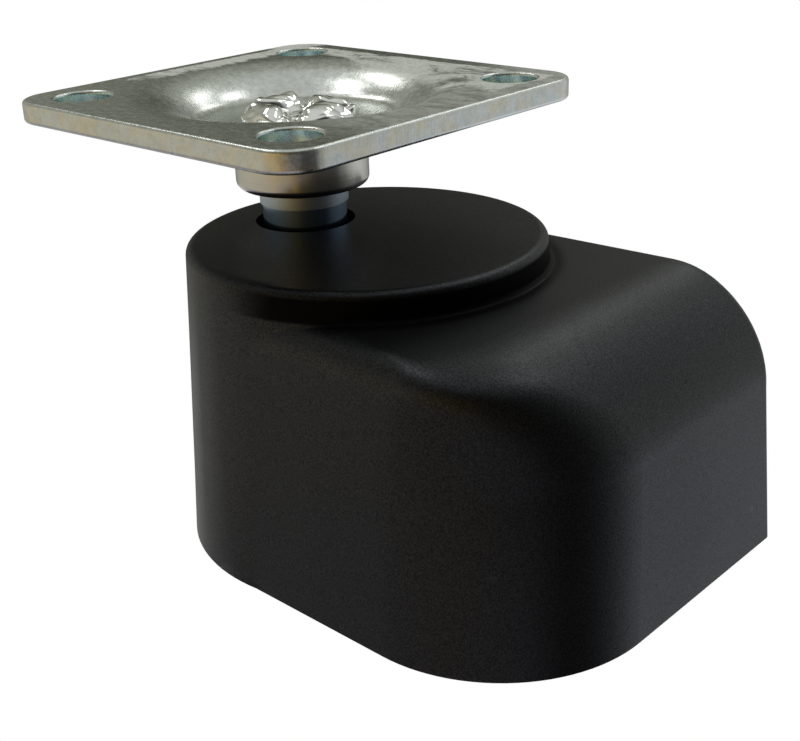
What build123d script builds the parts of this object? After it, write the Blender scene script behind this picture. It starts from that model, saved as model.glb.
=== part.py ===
"""Hooded plate castor: a dished plate with a staked kingpin, a moulded hood and the wheel under it.

Sizes are millimetres. The origin is on the swivel axis at the plate's top mounting face, Z up,
X along the trail towards the nose of the hood. The wheel hangs under the hood's top by a named
clearance.
"""
from build123d import *
import math
import os

# Top plate
PLATE_SIDE = 38.0
PLATE_THICKNESS = 2.0
PLATE_CORNER = 3.8
PLATE_EDGE = 0.35
HOLE_INSET = 5.0
HOLE_DIAMETER = 5.2
HOLE_EDGE = 0.3
DISH_FLOOR_DIAMETER = 18.0
DISH_DEPTH = 3.0
DISH_BORDER = 3.0
FOOT_BEND = 2.0

# Kingpin
PIN_DIAMETER = 8.1
PIN_TIP_DOME = 1.2
TENON_DIAMETER = 7.6
TENON_PLAY = 0.03
HEAD_DIAMETER = 10.9
HEAD_HEIGHT = 1.9
HEAD_ROUND = 0.75
STAKE_COUNT = 4
STAKE_ANGLE = 40.0
STAKE_DEPTH = 1.35
STAKE_WIDTH = 1.9
DIMPLE_DIAMETER = 3.4
DIMPLE_DEPTH = 1.5
COLLAR_DIAMETER = 12.7
COLLAR_LENGTH = 4.1
COLLAR_EDGE = 0.7
SHOULDER_DIAMETER = 8.5
SHOULDER_LENGTH = 1.6
SWIVEL_GAP = 3.5

# Snap ring
RING_WIRE = 1.1
RING_REACH = 0.75
RING_SPLIT = 2.4
RING_PLAY = 0.08
RING_DEPTH = 15.0

# Hood
TOWER_OFFSET = 8.2
TOWER_TOP_DIAMETER = 33.4
TOWER_RIM_ROUND = 0.8
TOWER_STEP = 2.7
STEP_COVE = 0.5
HOOD_HEIGHT = 28.8
HOOD_DRAFT = 3.4
HOOD_REACH = 41.2
NOSE_RADIUS = 10.5
NEAR_CORNER = 15.0
TOP_CORNER = 5.5
FAR_CORNER = 0.8
NEAR_ROUND = 2.8
FAR_ROUND = 0.9
SIDE_SET = 0.12
SIDE_FLARE = 0.6
FAR_FLARE = 0.95
WALL = 2.0
HOLLOW_SET = 0.6
NOSE_STEPS = 10

# Socket inside the hood
SOCKET_WALL = 2.9
SOCKET_FLOOR = 3.2
RIM_RISE = 0.9
BORE_PLAY = 0.05
MOUTH_DIAMETER = 9.6
MOUTH_DEPTH = 1.5
TIP_PLAY = 0.05
RIB_THICKNESS = 1.6
RIB_RISE = 5.0

# Cheeks that carry the axle
CHEEK_THICKNESS = 2.4
CHEEK_RISE = 1.2
WHEEL_SIDE_PLAY = 0.6
SLOT_NECK = 4.5
SEAT_PLAY = 0.02
ARCH_THICKNESS = 1.8
ARCH_PLAY = 1.4

# Wheel and axle
WHEEL_DIAMETER = 26.0
WHEEL_WIDTH = 18.0
WHEEL_TRAIL = 22.4
WHEEL_TOP_PLAY = 2.7
WHEEL_EDGE = 1.6
WHEEL_RIM = 2.6
WHEEL_WEB = 3.0
WHEEL_HUB_DIAMETER = 10.0
WHEEL_RIB_COUNT = 6
WHEEL_RIB = 1.6
WHEEL_RIB_SET = 1.0
AXLE_DIAMETER = 5.0
AXLE_PLAY = 0.05
AXLE_OVERHANG = 1.5
AXLE_CHAMFER = 0.4

# Levels, all measured from the mounting face
DISH_FLOOR_Z = -DISH_DEPTH
DISH_UNDER_Z = DISH_FLOOR_Z - PLATE_THICKNESS
COLLAR_Z = DISH_UNDER_Z - COLLAR_LENGTH
SHOULDER_Z = COLLAR_Z - SHOULDER_LENGTH
CAP_Z = COLLAR_Z - SWIVEL_GAP
TOP_Z = CAP_Z - TOWER_STEP
RIM_Z = CAP_Z - HOOD_HEIGHT
BOSS_Z = RIM_Z + RIM_RISE
SOCKET_Z = BOSS_Z + SOCKET_FLOOR
TIP_Z = SOCKET_Z + TIP_PLAY
RING_Z = CAP_Z - RING_DEPTH
AXLE_Z = TOP_Z - WALL - WHEEL_TOP_PLAY - WHEEL_DIAMETER / 2

# Radii and spans that follow from the sizes above
PIN_R = PIN_DIAMETER / 2
BORE_R = PIN_R + BORE_PLAY
BOSS_R = BORE_R + SOCKET_WALL
TAN_DRAFT = math.tan(math.radians(HOOD_DRAFT))
TOWER_RIM_R = TOWER_TOP_DIAMETER / 2 + HOOD_HEIGHT * TAN_DRAFT
HALF_WIDTH = TOWER_RIM_R - SIDE_SET
SPRING_Z = TOP_Z - NOSE_RADIUS
CHEEK_IN = WHEEL_WIDTH / 2 + WHEEL_SIDE_PLAY
CHEEK_OUT = CHEEK_IN + CHEEK_THICKNESS
AXLE_LENGTH = 2 * (CHEEK_OUT + AXLE_OVERHANG)
RING_IN = PIN_R - RING_WIRE + RING_PLAY
RING_OUT = PIN_R + RING_REACH
BIG = 3 * HOOD_REACH


def drop_in(radius, below):
    """How far a rounded edge has drawn in at a depth below its top."""
    rise = min(max(radius - below, 0.0), radius)
    return radius - math.sqrt(radius**2 - rise**2)


def hood_section(z):
    """Outline of the nose at a height, back to the middle of the tower: corners and their radii."""
    below = TOP_Z - z
    half = TOWER_RIM_R - (z - RIM_Z) * TAN_DRAFT - SIDE_SET
    reach = HOOD_REACH - (min(z, SPRING_Z) - RIM_Z) * TAN_DRAFT - drop_in(NOSE_RADIUS, below)
    near = half - drop_in(NEAR_ROUND, below)
    far = half - drop_in(FAR_ROUND, below)
    up = max(z - SPRING_Z, 0.0) / NOSE_RADIUS
    corner = NEAR_CORNER - (NEAR_CORNER - TOP_CORNER) * up**2
    ends = [(reach, -near - SIDE_FLARE), (reach, far + FAR_FLARE)]
    return [(TOWER_OFFSET, -near), *ends, (TOWER_OFFSET, far)], [corner, FAR_CORNER]


def hollow_body(inset):
    """The space under the nose: drafted walls and a top rolled down on an arc."""
    half = HALF_WIDTH - inset - HOLLOW_SET
    reach = HOOD_REACH - inset
    top_z = TOP_Z - inset
    arc = NOSE_RADIUS - inset
    end_x = reach - (top_z - arc - RIM_Z) * TAN_DRAFT
    with BuildPart() as space:
        with BuildSketch(Plane.XY.offset(RIM_Z)):
            with BuildLine():
                corners = [(TOWER_OFFSET, -half), (reach, -half), (reach, half), (TOWER_OFFSET, half)]
                FilletPolyline(*corners, radius=[NEAR_CORNER + WALL, FAR_CORNER])
                Line(corners[-1], corners[0])
            make_face()
        extrude(amount=top_z - RIM_Z, taper=HOOD_DRAFT)
        with BuildSketch(Plane.XZ):
            with BuildLine():
                Polyline(
                    (end_x - arc, top_z),
                    (TOWER_OFFSET - 1, top_z),
                    (TOWER_OFFSET - 1, RIM_Z - 1),
                    (reach + 1, RIM_Z - 1),
                    (reach + 1, top_z - arc),
                    (end_x, top_z - arc),
                )
                RadiusArc((end_x, top_z - arc), (end_x - arc, top_z), -arc)
            make_face()
        extrude(amount=BIG, both=True, mode=Mode.INTERSECT)
    return space.part


def tower(inset, top_z):
    """The round drafted tower, set in by a wall."""
    with BuildPart() as cone:
        with BuildSketch(Plane.XY.offset(RIM_Z)):
            with Locations((TOWER_OFFSET, 0)):
                Circle(TOWER_RIM_R - inset)
        extrude(amount=top_z - RIM_Z, taper=HOOD_DRAFT)
    return cone.part


os.makedirs("parts", exist_ok=True)

# Top plate: flat border, dished centre, four fixing holes
RIM_R = PLATE_SIDE / 2 - DISH_BORDER
FLOOR_R = DISH_FLOOR_DIAMETER / 2
SLOPE = 2 * math.atan2(DISH_DEPTH, RIM_R - FLOOR_R)
KNEE_R = FLOOR_R + FOOT_BEND * math.sin(SLOPE)
KNEE_Z = DISH_FLOOR_Z + FOOT_BEND * (1 - math.cos(SLOPE))
HOLE_R = HOLE_DIAMETER / 2
HOLE_PITCH = PLATE_SIDE - 2 * HOLE_INSET
TENON_R = TENON_DIAMETER / 2

with BuildPart() as top_plate:
    with BuildSketch(Plane.XY.offset(-PLATE_THICKNESS)):
        RectangleRounded(PLATE_SIDE, PLATE_SIDE, PLATE_CORNER)
    extrude(amount=PLATE_THICKNESS)
    level_faces = top_plate.faces().sort_by(Axis.Z)
    fillet(level_faces[-1].edges() + level_faces[0].edges(), PLATE_EDGE)
    with BuildSketch(Plane.XY.offset(-PLATE_THICKNESS)):
        Circle(RIM_R)
    extrude(amount=PLATE_THICKNESS, mode=Mode.SUBTRACT)
    # The dish is one sheet thick: its underside is the top curve moved down
    with BuildSketch(Plane.XZ):
        with BuildLine():
            TangentArc((FLOOR_R, DISH_FLOOR_Z), (KNEE_R, KNEE_Z), tangent=(1, 0))
            TangentArc((RIM_R, 0), (KNEE_R, KNEE_Z), tangent=(-1, 0))
            Line((RIM_R, 0), (RIM_R, -PLATE_THICKNESS))
            TangentArc((RIM_R, -PLATE_THICKNESS), (KNEE_R, KNEE_Z - PLATE_THICKNESS), tangent=(-1, 0))
            TangentArc((FLOOR_R, DISH_UNDER_Z), (KNEE_R, KNEE_Z - PLATE_THICKNESS), tangent=(1, 0))
            Polyline(
                (FLOOR_R, DISH_UNDER_Z),
                (TENON_R + TENON_PLAY, DISH_UNDER_Z),
                (TENON_R + TENON_PLAY, DISH_FLOOR_Z),
                (FLOOR_R, DISH_FLOOR_Z),
            )
        make_face()
    revolve(axis=Axis.Z)
    with BuildSketch():
        with GridLocations(HOLE_PITCH, HOLE_PITCH, 2, 2):
            Circle(HOLE_R)
    extrude(amount=-PLATE_THICKNESS, mode=Mode.SUBTRACT)
    # Punching draws the sheet in a little at the top of each hole
    circles = top_plate.edges().filter_by(GeomType.CIRCLE).filter_by_position(Axis.Z, -0.01, 0.01)
    fillet(circles.filter_by(lambda e: abs(e.radius - HOLE_R) < 1e-4), HOLE_EDGE)
top_plate.part.label = "top_plate"
export_step(top_plate.part, "parts/top_plate.step")

# Kingpin: staked head, tenon through the dish, collar, shoulder and the long swivel pin
HEAD_R = HEAD_DIAMETER / 2
COLLAR_R = COLLAR_DIAMETER / 2
SHOULDER_R = SHOULDER_DIAMETER / 2
HEAD_Z = DISH_FLOOR_Z + HEAD_HEIGHT
GROOVE_R = PIN_R - RING_WIRE
DOME_R = (PIN_R**2 + PIN_TIP_DOME**2) / (2 * PIN_TIP_DOME)

with BuildPart() as stake:
    for k in range(STAKE_COUNT // 2):
        turn = STAKE_ANGLE + k * 360.0 / STAKE_COUNT
        with BuildSketch(Plane.XZ.rotated((0, 0, turn))):
            with BuildLine():
                Polyline(
                    (-STAKE_WIDTH / 2, HEAD_Z + 0.2),
                    (0, HEAD_Z - STAKE_DEPTH),
                    (STAKE_WIDTH / 2, HEAD_Z + 0.2),
                    close=True,
                )
            make_face()
        extrude(amount=HEAD_DIAMETER, both=True)
    with BuildSketch(Plane.XY.offset(HEAD_Z + 0.2)):
        Circle(DIMPLE_DIAMETER / 2)
    extrude(amount=-DIMPLE_DEPTH - 0.2)

with BuildPart() as kingpin:
    with BuildSketch(Plane.XZ):
        with BuildLine():
            Polyline(
                (0, HEAD_Z),
                (HEAD_R, HEAD_Z),
                (HEAD_R, DISH_FLOOR_Z),
                (TENON_R, DISH_FLOOR_Z),
                (TENON_R, DISH_UNDER_Z),
                (COLLAR_R, DISH_UNDER_Z),
                (COLLAR_R, COLLAR_Z + COLLAR_EDGE),
            )
            collar_foot = (COLLAR_R - COLLAR_EDGE, COLLAR_Z)
            RadiusArc((COLLAR_R, COLLAR_Z + COLLAR_EDGE), collar_foot, COLLAR_EDGE)
            Polyline(
                collar_foot,
                (SHOULDER_R, COLLAR_Z),
                (SHOULDER_R, SHOULDER_Z),
                (PIN_R, SHOULDER_Z),
                (PIN_R, RING_Z),
                (GROOVE_R, RING_Z),
                (GROOVE_R, RING_Z - RING_WIRE - 2 * RING_PLAY),
                (PIN_R, RING_Z - RING_WIRE - 2 * RING_PLAY),
                (PIN_R, TIP_Z + PIN_TIP_DOME),
            )
            RadiusArc((PIN_R, TIP_Z + PIN_TIP_DOME), (0, TIP_Z), DOME_R)
            Line((0, TIP_Z), (0, HEAD_Z))
        make_face()
    revolve(axis=Axis.Z)
    crown = kingpin.edges().filter_by(GeomType.CIRCLE).sort_by(Axis.Z)[-1]
    fillet(crown, HEAD_ROUND)
    # The staking tool leaves a cross of notches and a dimple at its centre
    add(stake.part, mode=Mode.SUBTRACT)
kingpin.part.label = "kingpin"
export_step(kingpin.part, "parts/kingpin.step")

# Snap ring: split spring wire in the pin's groove
with BuildPart() as snap_ring:
    with BuildSketch(Plane.XY.offset(RING_Z - RING_PLAY)):
        Circle(RING_OUT)
        Circle(RING_IN, mode=Mode.SUBTRACT)
        with Locations((-RING_OUT, 0)):
            Rectangle(2 * RING_OUT, RING_SPLIT, mode=Mode.SUBTRACT)
    extrude(amount=-RING_WIRE)
snap_ring.part.label = "snap_ring"
export_step(snap_ring.part, "parts/snap_ring.step")

# Hood: tower, nose body, hollow, then the socket, ribs and cheeks inside
hollow = hollow_body(WALL)
tower_in = tower(WALL, CAP_Z - WALL)
STRAIGHT = [RIM_Z, SPRING_Z]
ROLL_TURNS = [math.radians(90 * k / NOSE_STEPS) for k in range(NOSE_STEPS + 1)]
ROLLED = [SPRING_Z + NOSE_RADIUS * math.sin(turn) for turn in ROLL_TURNS]

# What the inside parts are trimmed to: the hollow and a little of the walls round it
with BuildPart() as inner_form:
    add(tower(WALL / 2, CAP_Z - WALL / 2))
    add(hollow_body(WALL / 2))

# Parts of the inside that are trimmed to the outer form
with BuildPart() as inside:
    with BuildSketch(Plane.XY.offset(BOSS_Z)):
        Circle(BOSS_R)
    extrude(amount=CAP_Z - WALL / 2 - BOSS_Z)
    # Ribs from the socket to the tower wall
    for angle in (105.0, 180.0, 255.0):
        with BuildSketch(Plane.XY.offset(RIM_Z + RIB_RISE)):
            with Locations(Rotation(0, 0, angle) * Location((TOWER_RIM_R / 2, 0, 0))):
                Rectangle(TOWER_RIM_R, RIB_THICKNESS)
        extrude(amount=CAP_Z - WALL / 2 - RIM_Z - RIB_RISE)
    # Two cheeks along the wheel
    for side in (-1, 1):
        with BuildSketch(Plane.XZ.offset(-side * CHEEK_IN)):
            with Locations((0, (RIM_Z + CHEEK_RISE + CAP_Z) / 2)):
                Rectangle(BIG, CAP_Z - RIM_Z - CHEEK_RISE)
        extrude(amount=-side * CHEEK_THICKNESS)
        # Snap slot for the axle, open downwards
        with BuildSketch(Plane.XZ.offset(-side * CHEEK_IN)):
            with Locations((WHEEL_TRAIL, AXLE_Z)):
                Circle(AXLE_DIAMETER / 2 + SEAT_PLAY)
            with Locations((WHEEL_TRAIL, (AXLE_Z + RIM_Z) / 2)):
                Rectangle(SLOT_NECK, AXLE_Z - RIM_Z)
        extrude(amount=-side * CHEEK_THICKNESS, mode=Mode.SUBTRACT)
    # Cross wall over the back of the wheel
    with BuildSketch(Plane.YZ.offset(BOSS_R + ARCH_PLAY)):
        with Locations((0, (AXLE_Z + WHEEL_DIAMETER / 4 + CAP_Z) / 2)):
            Rectangle(2 * CHEEK_OUT, CAP_Z - AXLE_Z - WHEEL_DIAMETER / 4)
    extrude(amount=ARCH_THICKNESS)
    # Keep only what lies inside the outer form, half a wall in
    add(inner_form.part, mode=Mode.INTERSECT)

with BuildPart() as hood:
    # Straight drafted walls, then a top that rolls down into the end face
    for levels in (STRAIGHT, ROLLED):
        for z in levels:
            corners, radii = hood_section(z)
            with BuildSketch(Plane.XY.offset(z)):
                with BuildLine():
                    FilletPolyline(*corners, radius=radii)
                    Line(corners[-1], corners[0])
                make_face()
        loft(ruled=levels is STRAIGHT)
    add(tower(0, CAP_Z))
    # A cove where the tower stands on the nose, and a rounded rim on its top
    round_edges = hood.edges().filter_by(GeomType.CIRCLE)
    fillet(round_edges.filter_by_position(Axis.Z, TOP_Z - 0.01, TOP_Z + 0.01), STEP_COVE)
    fillet(hood.edges().filter_by(GeomType.CIRCLE).sort_by(Axis.Z)[-1], TOWER_RIM_ROUND)
    add(hollow, mode=Mode.SUBTRACT)
    add(tower_in, mode=Mode.SUBTRACT)
    add(inside.part)
    # Socket for the kingpin, with a wider mouth and a groove for the snap ring
    with BuildSketch(Plane.XY.offset(SOCKET_Z)):
        Circle(BORE_R)
    extrude(amount=CAP_Z - SOCKET_Z, mode=Mode.SUBTRACT)
    with BuildSketch(Plane.XY.offset(CAP_Z)):
        Circle(MOUTH_DIAMETER / 2)
    extrude(amount=-MOUTH_DEPTH, mode=Mode.SUBTRACT)
    with BuildSketch(Plane.XY.offset(RING_Z)):
        Circle(RING_OUT + RING_PLAY)
    extrude(amount=-RING_WIRE - 2 * RING_PLAY, mode=Mode.SUBTRACT)
hood.part.label = "hood"
export_step(hood.part, "parts/hood.step")

# Axle: plain pin held in the two snap slots
with BuildPart() as axle:
    with BuildSketch(Plane.XZ.offset(-AXLE_LENGTH / 2)):
        with Locations((WHEEL_TRAIL, AXLE_Z)):
            Circle(AXLE_DIAMETER / 2)
    extrude(amount=AXLE_LENGTH)
    chamfer(axle.edges().filter_by(GeomType.CIRCLE), AXLE_CHAMFER)
axle.part.label = "axle"
export_step(axle.part, "parts/axle.step")

# Wheel: rim, web and hub in one moulding, ribbed on both sides
WHEEL_R = WHEEL_DIAMETER / 2
HALF_TREAD = WHEEL_WIDTH / 2
RIM_IN = WHEEL_R - WHEEL_RIM
HUB_R = WHEEL_HUB_DIAMETER / 2
WHEEL_PLANE = Plane((WHEEL_TRAIL, 0, AXLE_Z), x_dir=(1, 0, 0), z_dir=(0, -1, 0))
WHEEL_AXIS = Axis((WHEEL_TRAIL, 0, AXLE_Z), (0, 1, 0))

with BuildPart() as wheel:
    with BuildSketch(WHEEL_PLANE.offset(-HALF_TREAD)):
        Circle(WHEEL_R)
    extrude(amount=WHEEL_WIDTH)
    fillet(wheel.edges().filter_by(GeomType.CIRCLE), WHEEL_EDGE)
    for side in (-1, 1):
        with BuildSketch(WHEEL_PLANE.offset(side * HALF_TREAD)):
            Circle(RIM_IN)
            Circle(HUB_R, mode=Mode.SUBTRACT)
        extrude(amount=-side * (HALF_TREAD - WHEEL_WEB / 2), mode=Mode.SUBTRACT)
        with BuildSketch(WHEEL_PLANE.offset(side * WHEEL_WEB / 4)):
            with PolarLocations((HUB_R + RIM_IN) / 2, WHEEL_RIB_COUNT):
                Rectangle(RIM_IN - HUB_R + 1, WHEEL_RIB)
        extrude(amount=side * (HALF_TREAD - WHEEL_RIB_SET - WHEEL_WEB / 4))
    with BuildSketch(WHEEL_PLANE.offset(-HALF_TREAD)):
        Circle(AXLE_DIAMETER / 2 + AXLE_PLAY)
    extrude(amount=WHEEL_WIDTH, mode=Mode.SUBTRACT)
wheel.part.label = "wheel"
export_step(wheel.part, "parts/wheel.step")
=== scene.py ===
# Looks of the hooded plate castor: materials, light and the photo's camera
import math

import bmesh
import bpy
from mathutils import Matrix, Vector
from mathutils import noise as crumple


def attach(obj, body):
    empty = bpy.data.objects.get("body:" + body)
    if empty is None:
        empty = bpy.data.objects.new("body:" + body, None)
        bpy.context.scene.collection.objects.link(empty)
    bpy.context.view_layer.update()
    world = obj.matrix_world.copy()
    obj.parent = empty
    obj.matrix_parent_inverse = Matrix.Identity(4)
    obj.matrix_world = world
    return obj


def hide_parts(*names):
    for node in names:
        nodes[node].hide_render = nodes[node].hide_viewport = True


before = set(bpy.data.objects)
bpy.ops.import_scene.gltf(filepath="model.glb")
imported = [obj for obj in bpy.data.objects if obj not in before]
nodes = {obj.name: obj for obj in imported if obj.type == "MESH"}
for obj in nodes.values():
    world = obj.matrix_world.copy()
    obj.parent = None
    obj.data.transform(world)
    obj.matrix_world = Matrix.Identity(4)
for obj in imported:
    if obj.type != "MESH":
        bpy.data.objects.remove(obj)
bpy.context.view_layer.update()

# Camera of the photo: it stands close, so the perspective is strong
VIEW_AZIMUTH = math.radians(43.14)
VIEW_ELEVATION = math.radians(23.07)
VIEW_ROLL = math.radians(-2.18)
VIEW_DISTANCE = 0.131325
VIEW_TARGET = Vector((0.006228, 0.005836, -0.028995))
FOCAL_WIDTHS = 1293.488 / 800
SENSOR = 36.0
CLIP_START = 0.005
CLIP_END = 10.0

# Level directions as that camera sees them
TO_RIGHT = Vector((math.cos(VIEW_AZIMUTH), math.sin(VIEW_AZIMUTH), 0.0))
AWAY = Vector((-math.sin(VIEW_AZIMUTH), math.cos(VIEW_AZIMUTH), 0.0))

# Inputs and output of a mix node, by what it mixes
MIX_SOCKETS = {"FLOAT": (2, 3, 0), "VECTOR": (4, 5, 1), "RGBA": (6, 7, 2)}


def socket(tree, node, name, value):
    """Sets a constant, or links an output, on a node's input."""
    target = node.inputs[name]
    if isinstance(value, bpy.types.NodeSocket):
        tree.links.new(value, target)
    else:
        target.default_value = value


def add(tree, kind, values=None, **settings):
    """Adds a node, with settings as attributes and values on its inputs."""
    node = tree.nodes.new(kind)
    for key, value in settings.items():
        setattr(node, key, value)
    for key, value in (values or {}).items():
        socket(tree, node, key, value)
    return node


def math_node(tree, operation, a, b=0.0):
    return add(tree, "ShaderNodeMath", {0: a, 1: b}, operation=operation).outputs[0]


def product(tree, *factors):
    result = factors[0]
    for factor in factors[1:]:
        result = math_node(tree, "MULTIPLY", result, factor)
    return result


def distance(tree, x, y):
    """Length of a level offset."""
    squares = math_node(tree, "ADD", product(tree, x, x), product(tree, y, y))
    return math_node(tree, "SQRT", squares)


def ramp(tree, value, low, high, out_low=0.0, out_high=1.0):
    """Smooth step of a value between two limits."""
    node = add(tree, "ShaderNodeMapRange", interpolation_type="SMOOTHSTEP")
    socket(tree, node, "Value", value)
    socket(tree, node, "From Min", low)
    socket(tree, node, "From Max", high)
    socket(tree, node, "To Min", out_low)
    socket(tree, node, "To Max", out_high)
    return node.outputs["Result"]


def fade_in(tree, value, span):
    return ramp(tree, value, *span)


def fade_out(tree, value, span):
    return ramp(tree, value, *span, 1.0, 0.0)


def mix(tree, kind, factor, a, b):
    first, second, result = MIX_SOCKETS[kind]
    node = add(tree, "ShaderNodeMix", {0: factor, first: a, second: b}, data_type=kind)
    return node.outputs[result]


def mix_colour(tree, factor, a, b):
    return mix(tree, "RGBA", factor, a, b)


def mix_value(tree, factor, a, b):
    return mix(tree, "FLOAT", factor, a, b)


def noise(tree, vector, scale, detail=4.0, roughness=0.55, distortion=0.0):
    values = {"Vector": vector, "Scale": scale, "Detail": detail}
    values.update({"Roughness": roughness, "Distortion": distortion})
    return add(tree, "ShaderNodeTexNoise", values).outputs["Fac"]


def material(name):
    mat = bpy.data.materials.new(name)
    mat.use_nodes = True
    tree = mat.node_tree
    shader = tree.nodes["Principled BSDF"]
    place = add(tree, "ShaderNodeTexCoord").outputs["Object"]
    return mat, tree, shader, place


def bump(tree, height, strength, depth, normal=None):
    node = add(tree, "ShaderNodeBump", {"Height": height, "Strength": strength, "Distance": depth})
    if normal is not None:
        tree.links.new(normal, node.inputs["Normal"])
    return node.outputs["Normal"]


def grey(level, tint=(1.0, 1.0, 1.0)):
    return (level * tint[0], level * tint[1], level * tint[2], 1.0)


# Black satin moulding with a fine grain and a little dust
CLOUD_SCALE = 90.0
DARK_TINT = (1.0, 0.97, 1.0)
PALE_TINT = (1.0, 0.99, 1.0)
GRAIN_SCALE = 6800.0
GRAIN_SPAN = (0.30, 0.70)
GRAIN_GLOSS = (0.28, 0.72)
GRAIN_STRENGTH = 0.32
GRAIN_DEPTH = 0.000025
GLINT = (0.86, 0.90, 1.0, 1.0)
SPECK_SCALE = 170.0
SPECK_EDGE = (0.02, 0.075)
PICK_SCALE = 120.0
PICK_SPAN = (0.47, 0.55)
DUST_LEVEL = 0.07


def moulding(name, level, roughness, dust):
    mat, tree, shader, place = material(name)
    cloud = noise(tree, place, CLOUD_SCALE, 3.0)
    grain = noise(tree, place, GRAIN_SCALE, 2.0, 0.6)
    body = mix_colour(tree, cloud, grey(level * 0.8, DARK_TINT), grey(level * 1.2, PALE_TINT))
    cells = add(tree, "ShaderNodeTexVoronoi", {"Vector": place, "Scale": SPECK_SCALE})
    near = fade_out(tree, cells.outputs["Distance"], SPECK_EDGE)
    picked = fade_in(tree, noise(tree, place, PICK_SCALE, 1.0), PICK_SPAN)
    speck = product(tree, near, picked, dust)
    socket(tree, shader, "Base Color", mix_colour(tree, speck, body, grey(DUST_LEVEL)))
    socket(tree, shader, "Roughness", mix_value(tree, cloud, roughness - 0.04, roughness + 0.05))
    gloss = ramp(tree, grain, *GRAIN_SPAN, *GRAIN_GLOSS)
    socket(tree, shader, "Specular IOR Level", gloss)
    socket(tree, shader, "Specular Tint", GLINT)
    socket(tree, shader, "Normal", bump(tree, grain, GRAIN_STRENGTH, GRAIN_DEPTH))
    return mat, tree, shader, place, gloss


# Where the hood's round tower stands, from the swivel axis
TOWER_OFFSET = 0.0082
# The step under the cap, by its way out from the tower's axis, its height and where it starts; its gloss
# is turned down there as painted shade
STEP_INNER = (0.0160, 0.0163)
STEP_OUTER = (0.0176, 0.0188)
STEP_BOTTOM = (-0.0156, -0.0152)
STEP_TOP = (-0.0134, -0.0128)
STEP_FRONT = (0.006, 0.013)
STEP_PAINTED_SHADE_GLOSS = 0.04
# The band along the join of the near side and the tower
JOIN_START = (0.004, 0.0065)
JOIN_END = (0.0105, 0.013)
JOIN_SIDE = (-0.0135, -0.0145)
JOIN_RADIUS = 0.002


# The hood's gloss is turned down on the step under its cap as painted shade, and its near side runs into
# the tower without a crease
def hood_moulding():
    mat, tree, shader, place, gloss = moulding("hood_black", 0.0025, 0.40, 1.0)
    x, y, z = add(tree, "ShaderNodeSeparateXYZ", {0: place}).outputs[:3]
    out = distance(tree, math_node(tree, "SUBTRACT", x, TOWER_OFFSET), y)
    painted_shade_step = product(
        tree,
        fade_out(tree, out, STEP_OUTER),
        fade_in(tree, out, STEP_INNER),
        fade_in(tree, z, STEP_BOTTOM),
        fade_out(tree, z, STEP_TOP),
        fade_in(tree, x, STEP_FRONT),
    )
    # Painted shade: the step under the cap gets almost no gloss, so it stays dark
    socket(tree, shader, "Specular IOR Level", mix_value(tree, painted_shade_step, gloss, STEP_PAINTED_SHADE_GLOSS))
    # Only a band along the join is softened
    band = product(
        tree,
        fade_in(tree, x, JOIN_START),
        fade_out(tree, x, JOIN_END),
        fade_in(tree, y, JOIN_SIDE),
    )
    plain = add(tree, "ShaderNodeNewGeometry").outputs["Normal"]
    soft = add(tree, "ShaderNodeBevel", {"Radius": JOIN_RADIUS}, samples=8).outputs[0]
    grained = shader.inputs["Normal"].links[0].from_node
    tree.links.new(mix(tree, "VECTOR", band, plain, soft), grained.inputs["Normal"])
    return mat


# The plate's half side, and its holes: their place, walls and rims
PLATE_HALF = 0.019
HOLE_PLACE = 0.014
HOLE_WALL = (0.00264, 0.00270)
HOLE_RIM = (0.0027, 0.0030)
# The bloom along the back border
BACK_START = (0.0006, 0.0016)
BACK_END = (0.0030, 0.0056)
BACK_ALONG = (-0.012, -0.002)
# The bloom along the side border, which reaches further in towards one corner
SIDE_START = (0.0010, 0.0024)
SIDE_FADE = (0.70, 1.30)
SIDE_ALONG = (-0.008, 0.012)
SIDE_REACH = (0.0062, 0.0135)
SIDE_FRONT = (0.0165, 0.0180)
BLOOM_EDGE = (0.45, 0.63)
BLOOM_FLAT = (0.86, 0.98)
# The thinner veil over the front of the plate
VEIL_FRONT = (0.005, 0.015)
VEIL_SIDE = (-0.015, -0.005)
VEIL_TORN = (0.30, 0.62)
VEIL_COVER = (0.10, 0.42)
# Colours of the plate
ZINC_DARK = (0.66, 0.69, 0.66, 1.0)
ZINC_PALE = (0.80, 0.83, 0.81, 1.0)
# Painted shade for the plate's underside
ZINC_PAINTED_SHADE_BELOW = (0.18, 0.185, 0.185, 1.0)
# Painted reflection: the walls of the holes are tinted teal
HOLE_PAINTED_REFLECTION_TEAL = (0.80, 0.97, 1.00, 1.0)
EDGE_STRAW = (0.84, 0.76, 0.62, 1.0)
EDGE_BLUE = (0.72, 0.80, 0.88, 1.0)
POWDER_DARK = (0.72, 0.74, 0.70, 1.0)
POWDER_PALE = (0.98, 1.0, 0.97, 1.0)
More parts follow.
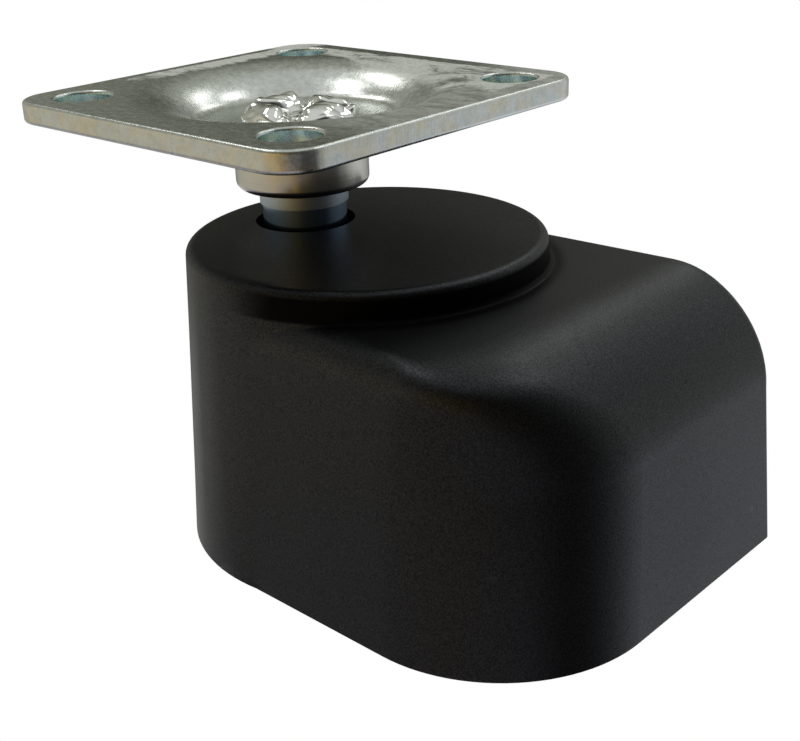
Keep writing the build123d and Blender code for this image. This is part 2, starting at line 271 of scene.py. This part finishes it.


# Bright zinc plate: a clean sheet, teal inside its holes as painted reflection, darker underneath as
# painted shade, with a torn pale bloom along its far borders
def zinc_plate():
    mat, tree, shader, place = material("zinc_plate")
    x, y = add(tree, "ShaderNodeSeparateXYZ", {0: place}).outputs[:2]
    facing = add(tree, "ShaderNodeNewGeometry").outputs["Normal"]
    flat = add(tree, "ShaderNodeSeparateXYZ", {0: facing}).outputs[2]
    wiping = {"Vector": place, "Rotation": (0.0, 0.0, 0.35), "Scale": (0.55, 1.5, 1.0)}
    wiped = add(tree, "ShaderNodeMapping", wiping).outputs[0]
    torn = noise(tree, wiped, 340.0, 8.0, 0.78, 0.9)
    wide = noise(tree, place, 110.0, 3.0)
    # How far in from the two borders the bloom lies
    from_back = math_node(tree, "ADD", x, PLATE_HALF)
    from_side = math_node(tree, "SUBTRACT", PLATE_HALF, y)
    back = product(
        tree,
        fade_in(tree, from_back, BACK_START),
        fade_out(tree, from_back, BACK_END),
        fade_in(tree, y, BACK_ALONG),
    )
    reach = ramp(tree, x, *SIDE_ALONG, *SIDE_REACH)
    side = product(
        tree,
        fade_in(tree, from_side, SIDE_START),
        fade_out(tree, math_node(tree, "DIVIDE", from_side, reach), SIDE_FADE),
        fade_out(tree, x, SIDE_FRONT),
    )
    cover = math_node(tree, "MAXIMUM", back, side)
    edge = math_node(tree, "ADD", product(tree, torn, 0.75), product(tree, wide, 0.45))
    bare = product(tree, math_node(tree, "SUBTRACT", cover, 1.0), 0.35)
    bias = math_node(tree, "ADD", edge, bare)
    veil = product(
        tree,
        fade_in(tree, x, VEIL_FRONT),
        ramp(tree, torn, *VEIL_TORN, *VEIL_COVER),
        fade_in(tree, y, VEIL_SIDE),
    )
    bloom = math_node(tree, "MAXIMUM", fade_in(tree, bias, BLOOM_EDGE), veil)
    bloom = product(tree, bloom, fade_in(tree, flat, BLOOM_FLAT))
    cloud = noise(tree, place, 160.0, 5.0, 0.6)
    fine = noise(tree, place, 2300.0, 4.0, 0.75)
    spangle = noise(tree, place, 1500.0, 3.0, 0.75)
    # The four holes sit on a square pattern
    off_x = math_node(tree, "SUBTRACT", math_node(tree, "ABSOLUTE", x), HOLE_PLACE)
    off_y = math_node(tree, "SUBTRACT", math_node(tree, "ABSOLUTE", y), HOLE_PLACE)
    off = distance(tree, off_x, off_y)
    metal = mix_colour(tree, cloud, ZINC_DARK, ZINC_PALE)
    # Painted shade darkens the faces that look down
    metal = mix_colour(tree, fade_out(tree, flat, (-0.85, -0.45)), metal, ZINC_PAINTED_SHADE_BELOW)
    wall = product(tree, fade_out(tree, off, HOLE_WALL), fade_out(tree, flat, (0.3, 0.6)))
    # Painted reflection tints the hole walls teal
    metal = mix_colour(tree, wall, metal, HOLE_PAINTED_REFLECTION_TEAL)
    # The cut edges run from straw to blue, and the whole sheet is finely mottled
    cut = fade_out(tree, flat, (0.2, 0.5))
    tinge = fade_in(tree, noise(tree, place, 420.0, 4.0, 0.65), (0.35, 0.65))
    edges = mix_colour(tree, tinge, EDGE_STRAW, EDGE_BLUE)
    beyond = product(tree, fade_in(tree, off, HOLE_RIM), 0.6)
    rim = product(tree, cut, beyond, fade_in(tree, flat, (-0.5, -0.2)))
    metal = mix_colour(tree, rim, metal, edges)
    shade = ramp(tree, spangle, 0.30, 0.70, 0.86, 1.06)
    metal = add(tree, "ShaderNodeVectorMath", {0: metal, "Scale": shade}, operation="SCALE").outputs[0]
    powder = mix_colour(tree, fade_in(tree, fine, (0.35, 0.65)), POWDER_DARK, POWDER_PALE)
    socket(tree, shader, "Base Color", mix_colour(tree, bloom, metal, powder))
    socket(tree, shader, "Metallic", mix_value(tree, bloom, 1.0, 0.10))
    base_rough = ramp(tree, spangle, 0.25, 0.75, 0.20, 0.31)
    socket(tree, shader, "Roughness", mix_value(tree, bloom, base_rough, 0.65))
    rounded = add(tree, "ShaderNodeBevel", {"Radius": 0.0002}, samples=6).outputs[0]
    lumps = bump(tree, cloud, 0.10, 0.0004, rounded)
    # Shear marks run down the cut edges
    upright = add(tree, "ShaderNodeMapping", {"Vector": place, "Scale": (1.0, 1.0, 0.06)}).outputs[0]
    shear = noise(tree, upright, 900.0, 4.0, 0.7)
    marks = bump(tree, shear, product(tree, cut, 0.5), 0.00004, lumps)
    socket(tree, shader, "Normal", bump(tree, fine, 0.40, 0.00003, marks))
    return mat


# Heights on the kingpin where its looks change
PIN_HEAD = (-0.0033, -0.0028)
PIN_SHOULDER = (-0.0093, -0.0091)
PIN_LOW = (-0.0108, -0.0106)
# Colours of the kingpin
TURNED_DARK = (0.66, 0.66, 0.64, 1.0)
TURNED_PALE = (0.80, 0.79, 0.76, 1.0)
# Painted reflection gives the shoulder band its blue-grey; the pin below it is darker blue as painted
# shade and reflection
SHOULDER_PAINTED_REFLECTION_BLUE = (0.58, 0.66, 0.80, 1.0)
LOW_PAINTED_SHADE_BLUE = (0.36, 0.50, 0.72, 1.0)
HEAD_BRIGHT = (0.93, 0.93, 0.91, 1.0)


# Kingpin: bright torn head, turned collar and pin; the shoulder band and the pin where it runs in the
# hood are tinted blue as painted reflection, the pin darker as painted shade
def kingpin_metal():
    mat, tree, shader, place = material("kingpin_metal")
    height = add(tree, "ShaderNodeSeparateXYZ", {0: place}).outputs[2]
    head = fade_in(tree, height, PIN_HEAD)
    shoulder = fade_out(tree, height, PIN_SHOULDER)
    low = fade_out(tree, height, PIN_LOW)
    stretch = add(tree, "ShaderNodeMapping", {"Vector": place, "Scale": (1.0, 1.0, 40.0)}).outputs[0]
    rings = noise(tree, stretch, 120.0, 3.0)
    pits = noise(tree, place, 900.0, 3.0, 0.6)
    colour = mix_colour(tree, rings, TURNED_DARK, TURNED_PALE)
    # Painted reflection and shade: blue-grey on the shoulder band, darker blue on the pin below it
    colour = mix_colour(tree, shoulder, colour, SHOULDER_PAINTED_REFLECTION_BLUE)
    colour = mix_colour(tree, low, colour, LOW_PAINTED_SHADE_BLUE)
    socket(tree, shader, "Base Color", mix_colour(tree, head, colour, HEAD_BRIGHT))
    socket(tree, shader, "Metallic", 1.0)
    turned = mix_value(tree, rings, 0.16, 0.26)
    ring = math_node(tree, "SUBTRACT", shoulder, low)
    turned = mix_value(tree, ring, turned, 0.42)
    socket(tree, shader, "Roughness", mix_value(tree, head, turned, 0.09))
    scored = bump(tree, pits, mix_value(tree, head, 0.04, 0.05), 0.0001)
    socket(tree, shader, "Normal", bump(tree, rings, 0.06, 0.00004, scored))
    return mat


def plain_metal(name, level, roughness):
    mat, tree, shader, place = material(name)
    cloud = noise(tree, place, 300.0, 3.0)
    socket(tree, shader, "Base Color", mix_colour(tree, cloud, grey(level * 0.9), grey(level * 1.1)))
    socket(tree, shader, "Metallic", 1.0)
    socket(tree, shader, "Roughness", roughness)
    return mat


looks = {
    "top_plate": zinc_plate(),
    "kingpin": kingpin_metal(),
    "snap_ring": plain_metal("spring_steel", 0.28, 0.35),
    "hood": hood_moulding(),
    "axle": plain_metal("axle_steel", 0.60, 0.25),
    "wheel": moulding("wheel_black", 0.007, 0.48, 0.3)[0],
}
for node_name, look in looks.items():
    node_mesh = nodes[node_name].data
    node_mesh.materials.clear()
    node_mesh.materials.append(look)

# The kingpin's head as the staking tool leaves it: a hollow end split into four torn lobes
HEAD_FOOT = -0.0030
HEAD_RADIUS = 0.00545
HEAD_TOP = -0.0011
HEAD_ROWS = 72
HEAD_TURNS = 240
TENON_RADIUS = 0.0038
TENON_CUT = -0.0035
SHARP_ANGLE = math.radians(38)
WELD = 1e-7
# Way out and rise along the head, from its centre to its foot
HEAD_PROFILE = [
    (0.00, 0.34),
    (0.16, 0.34),
    (0.30, 0.62),
    (0.44, 0.93),
    (0.60, 1.00),
    (0.76, 0.92),
    (0.90, 0.70),
    (0.99, 0.42),
    (1.00, 0.18),
    (0.94, 0.00),
]
# Each split: its direction, its half width and how deep it goes
HEAD_SPLITS = [
    (-52.0, 0.00090, 0.78),
    (37.0, 0.00060, 0.60),
    (124.0, 0.00075, 0.66),
    (222.0, 0.00070, 0.70),
]
SPLIT_START = 0.12
SPLIT_RUN = 0.3
SPLIT_PULL = 0.10
# Each lobe: its direction, how far it rises and how far it spreads
HEAD_LOBES = [(-8.0, 1.00, 1.00), (80.0, 0.90, 0.97), (172.0, 1.00, 0.98), (265.0, 0.86, 1.00)]
LOBE_FOCUS = 2.0
# Creases and folds of the torn metal, which ease off towards the foot
CREASE_SCALE = 1.7
CREASE_SHIFT = Vector((3.1, 7.7, 1.9))
CREASE_OUT = 0.06
CREASE_RISE = 0.16
FOLD_SCALE = 2.2
FOLD_SHIFT = Vector((9.2, 0.4, 5.5))
FOLD_MIDDLE = 0.25
FOLD_RISE = 0.30
TEAR_EASE = 2.5


def smooth_curve(p, q, r, w, t):
    """A point between q and r on a smooth curve through four values."""
    square = (2 * p - 5 * q + 4 * r - w) * t**2
    cube = (3 * q - p - 3 * r + w) * t**3
    return 0.5 * (2 * q + (r - p) * t + square + cube)


def head_point(along, turn):
    """A point of the torn head, by its way out from the centre and its turn about the axis."""
    steps = len(HEAD_PROFILE) - 1
    k = min(int(along * steps), steps - 1)
    t = along * steps - k
    corners = [HEAD_PROFILE[min(max(i, 0), steps)] for i in (k - 1, k, k + 1, k + 2)]
    out, rise = (smooth_curve(*values, t) for values in zip(*corners))
    # The lobes differ in height and spread
    weight = spread = lift = 0.0
    for way, height, width in HEAD_LOBES:
        near = math.exp(LOBE_FOCUS * math.cos(turn - math.radians(way)))
        weight += near
        lift += near * height
        spread += near * width
    out *= spread / weight
    rise *= lift / weight
    # The splits between them run in from the rim as notches
    for way, half, depth in HEAD_SPLITS:
        swing = (turn - math.radians(way) + math.pi) % (2 * math.pi) - math.pi
        if abs(swing) < math.pi / 2:
            gap = math.exp(-((math.sin(swing) * out * HEAD_RADIUS) / half) ** 2)
            gap *= min(max((out - SPLIT_START) / SPLIT_RUN, 0.0), 1.0)
            rise *= 1 - depth * gap
            out *= 1 - SPLIT_PULL * gap * out
    spot = Vector((math.cos(turn) * out, math.sin(turn) * out, rise))
    crease = crumple.noise(spot * CREASE_SCALE + CREASE_SHIFT)
    fold = abs(crumple.noise(spot * FOLD_SCALE + FOLD_SHIFT)) - FOLD_MIDDLE
    ease = min(rise * TEAR_EASE, 1.0)
    out = min(out * (1 + CREASE_OUT * crease * ease), 1.0)
    rise = min(max(rise + (FOLD_RISE * fold + CREASE_RISE * crease) * ease, 0.0), 1.0)
    return (
        math.cos(turn) * out * HEAD_RADIUS,
        math.sin(turn) * out * HEAD_RADIUS,
        HEAD_FOOT + rise * (HEAD_TOP - HEAD_FOOT),
    )


def staked_kingpin():
    """The CAD pin with its plain head cut away and the torn one set on the same dish floor."""
    mesh = bmesh.new()
    mesh.from_mesh(nodes["kingpin"].data)
    bmesh.ops.remove_doubles(mesh, verts=mesh.verts, dist=WELD)
    whole = mesh.verts[:] + mesh.edges[:] + mesh.faces[:]
    bmesh.ops.bisect_plane(
        mesh, geom=whole, plane_co=(0, 0, TENON_CUT), plane_no=(0, 0, 1), dist=WELD, clear_outer=True
    )
    turns = [2 * math.pi * j / HEAD_TURNS for j in range(HEAD_TURNS)]
    rings = []
    for i in range(1, HEAD_ROWS + 1):
        rings.append([mesh.verts.new(head_point(i / HEAD_ROWS, turn)) for turn in turns])
    # The tenon joins the head to the cut below the dish floor
    for z in (HEAD_FOOT, TENON_CUT):
        ring = []
        for turn in turns:
            ring.append(mesh.verts.new((math.cos(turn) * TENON_RADIUS, math.sin(turn) * TENON_RADIUS, z)))
        rings.append(ring)
    for inner, outer in zip(rings, rings[1:]):
        for j in range(HEAD_TURNS):
            k = (j + 1) % HEAD_TURNS
            mesh.faces.new((inner[j], outer[j], outer[k], inner[k]))
    centre = mesh.verts.new(head_point(0.0, 0.0))
    for j in range(HEAD_TURNS):
        mesh.faces.new((centre, rings[0][j], rings[0][(j + 1) % HEAD_TURNS]))
    bmesh.ops.recalc_face_normals(mesh, faces=mesh.faces)
    data = bpy.data.meshes.new("staked_kingpin")
    mesh.to_mesh(data)
    mesh.free()
    # The normals that came with the CAD mesh no longer fit the cut one
    if "custom_normal" in data.attributes:
        data.attributes.remove(data.attributes["custom_normal"])
    data.shade_smooth()
    data.set_sharp_from_angle(angle=SHARP_ANGLE)
    data.materials.append(looks["kingpin"])
    pin = bpy.data.objects.new("staked_kingpin", data)
    bpy.context.scene.collection.objects.link(pin)
    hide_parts("kingpin")
    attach(pin, "mounting")


staked_kingpin()

# Colours of the surroundings: each stop is degrees to the right of straight away, then a colour
FLOOR = [
    (-180, (0.400, 0.405, 0.440)),
    (-150, (0.310, 0.308, 0.335)),
    (-120, (0.260, 0.250, 0.275)),
    (-95, (0.222, 0.212, 0.232)),
    (-75, (0.260, 0.250, 0.265)),
    (-55, (0.400, 0.395, 0.395)),
    (-30, (0.680, 0.680, 0.660)),
    (40, (0.600, 0.620, 0.640)),
    (75, (0.740, 0.780, 0.830)),
    (96, (0.400, 0.415, 0.430)),
    (110, (0.070, 0.070, 0.076)),
    (124, (0.014, 0.014, 0.016)),
    (142, (0.016, 0.016, 0.018)),
    (152, (0.160, 0.160, 0.175)),
    (162, (0.350, 0.352, 0.385)),
    (180, (0.400, 0.405, 0.440)),
]
LOW = [
    (-180, (0.080, 0.060, 0.034)),
    (-163, (0.330, 0.205, 0.055)),
    (-140, (0.490, 0.365, 0.150)),
    (-112, (0.520, 0.470, 0.350)),
    (-85, (0.520, 0.480, 0.370)),
    (-45, (0.400, 0.400, 0.340)),
    (0, (0.050, 0.053, 0.036)),
    (40, (0.420, 0.430, 0.400)),
    (66, (0.600, 0.610, 0.600)),
    (84, (0.480, 0.490, 0.450)),
    (100, (0.340, 0.350, 0.320)),
    (116, (0.060, 0.060, 0.055)),
    (152, (0.050, 0.046, 0.038)),
    (170, (0.090, 0.070, 0.045)),
    (180, (0.080, 0.060, 0.034)),
]
HIGH = [
    (-180, (0.030, 0.027, 0.022)),
    (-120, (0.080, 0.080, 0.070)),
    (-80, (0.260, 0.260, 0.230)),
    (-30, (0.300, 0.308, 0.262)),
    (-4, (0.250, 0.258, 0.215)),
    (16, (0.420, 0.438, 0.385)),
    (30, (0.360, 0.376, 0.330)),
    (66, (0.620, 0.650, 0.640)),
    (108, (0.080, 0.080, 0.080)),
    (180, (0.030, 0.027, 0.022)),
]
CEILING = (0.56, 0.58, 0.55, 1.0)
UNDERNEATH = (0.06, 0.058, 0.052, 1.0)
WHITE = (1.0, 1.0, 1.0, 1.0)
# Heights between which one band gives way to the next
FLOOR_TO_LOW = (-0.36, -0.29)
LOW_TO_HIGH = (0.22, 0.60)
HIGH_TO_CEILING = (0.72, 0.95)
FLOOR_TO_UNDERNEATH = (-0.60, -0.95)


def turn_ramp(tree, turn, stops):
    """Colours round the horizon, from a list of stops."""
    node = tree.nodes.new("ShaderNodeValToRGB")
    band = node.color_ramp
    while len(band.elements) < len(stops):
        band.elements.new(0.5)
    for element, (degrees, colour) in zip(band.elements, stops):
        element.position = degrees / 360 + 0.5
        element.color = (*colour, 1.0)
    tree.links.new(turn, node.inputs[0])
    return node.outputs[0]


def dot(tree, a, b):
    return add(tree, "ShaderNodeVectorMath", {0: a, 1: b}, operation="DOT_PRODUCT").outputs["Value"]


def surroundings():
    """A room seen only in reflections; the camera itself sees plain white."""
    world = bpy.data.worlds.new("surroundings")
    bpy.context.scene.world = world
    world.use_nodes = True
    sky = world.node_tree
    sky.nodes.clear()
    result = add(sky, "ShaderNodeOutputWorld")
    direction = add(sky, "ShaderNodeTexCoord").outputs["Generated"]
    height = add(sky, "ShaderNodeSeparateXYZ", {0: direction}).outputs[2]
    angle = math_node(sky, "ARCTAN2", dot(sky, direction, TO_RIGHT), dot(sky, direction, AWAY))
    turn = math_node(sky, "ADD", math_node(sky, "DIVIDE", angle, 2 * math.pi), 0.5)
    floor, low, high = (turn_ramp(sky, turn, stops) for stops in (FLOOR, LOW, HIGH))
    room = mix_colour(sky, fade_in(sky, height, FLOOR_TO_LOW), floor, low)
    room = mix_colour(sky, fade_in(sky, height, LOW_TO_HIGH), room, high)
    room = mix_colour(sky, fade_in(sky, height, HIGH_TO_CEILING), room, CEILING)
    room = mix_colour(sky, fade_in(sky, height, FLOOR_TO_UNDERNEATH), room, UNDERNEATH)
    seen = add(sky, "ShaderNodeLightPath").outputs["Is Camera Ray"]
    lit = add(sky, "ShaderNodeBackground", {"Color": room, "Strength": 1.0}).outputs[0]
    blank = add(sky, "ShaderNodeBackground", {"Color": WHITE, "Strength": 1.0}).outputs[0]
    chooser = add(sky, "ShaderNodeMixShader", {0: seen, 1: lit, 2: blank})
    sky.links.new(chooser.outputs[0], result.inputs[0])


surroundings()

# Two rows of ceiling lamps, whose images show on both sides of the dish.
# Each lamp: its name, degrees to the right of straight away, elevation and power
CEILING_LAMPS = [
    ("row_right_far", 32.0, 38.0, 0.12),
    ("row_right_near", 67.0, 53.0, 0.16),
    ("row_left_far", -34.0, 46.0, 0.22),
    ("row_left_near", -71.0, 64.0, 0.22),
]
LAMP_SIZE = 0.15
LAMP_DISTANCE = 0.6
LAMP_COLOUR = (1.0, 1.0, 0.98)


def ceiling_light(name, right_degrees, elevation_degrees, power):
    """A lamp overhead, placed by its direction as the camera sees it."""
    right = math.radians(right_degrees)
    elevation = math.radians(elevation_degrees)
    level = AWAY * math.cos(right) + TO_RIGHT * math.sin(right)
    aim = level * math.cos(elevation) + Vector((0.0, 0.0, math.sin(elevation)))
    light = bpy.data.lights.new(name, "AREA")
    light.shape = "DISK"
    light.size = LAMP_SIZE
    light.energy = power
    light.color = LAMP_COLOUR
    lamp = bpy.data.objects.new(name, light)
    bpy.context.scene.collection.objects.link(lamp)
    lamp.location = aim * LAMP_DISTANCE
    lamp.rotation_mode = "QUATERNION"
    lamp.rotation_quaternion = (-aim).to_track_quat("-Z", "Y")


for lamp_values in CEILING_LAMPS:
    ceiling_light(*lamp_values)


def photo_camera():
    level = math.cos(VIEW_ELEVATION)
    back = Vector((
        math.sin(VIEW_AZIMUTH) * level,
        -math.cos(VIEW_AZIMUTH) * level,
        math.sin(VIEW_ELEVATION),
    ))
    up = back.cross(TO_RIGHT)
    turned_right = TO_RIGHT * math.cos(VIEW_ROLL) + up * math.sin(VIEW_ROLL)
    turned_up = up * math.cos(VIEW_ROLL) - TO_RIGHT * math.sin(VIEW_ROLL)
    lens = bpy.data.cameras.new("photo_camera")
    lens.sensor_width = SENSOR
    lens.lens = SENSOR * FOCAL_WIDTHS
    lens.clip_start = CLIP_START
    lens.clip_end = CLIP_END
    camera = bpy.data.objects.new("photo_camera", lens)
    bpy.context.scene.collection.objects.link(camera)
    aim = Matrix((turned_right, turned_up, back)).transposed().to_4x4()
    camera.matrix_world = Matrix.Translation(VIEW_TARGET + back * VIEW_DISTANCE) @ aim
    bpy.context.scene.camera = camera


photo_camera()
bpy.context.scene.view_settings.view_transform = "Standard"
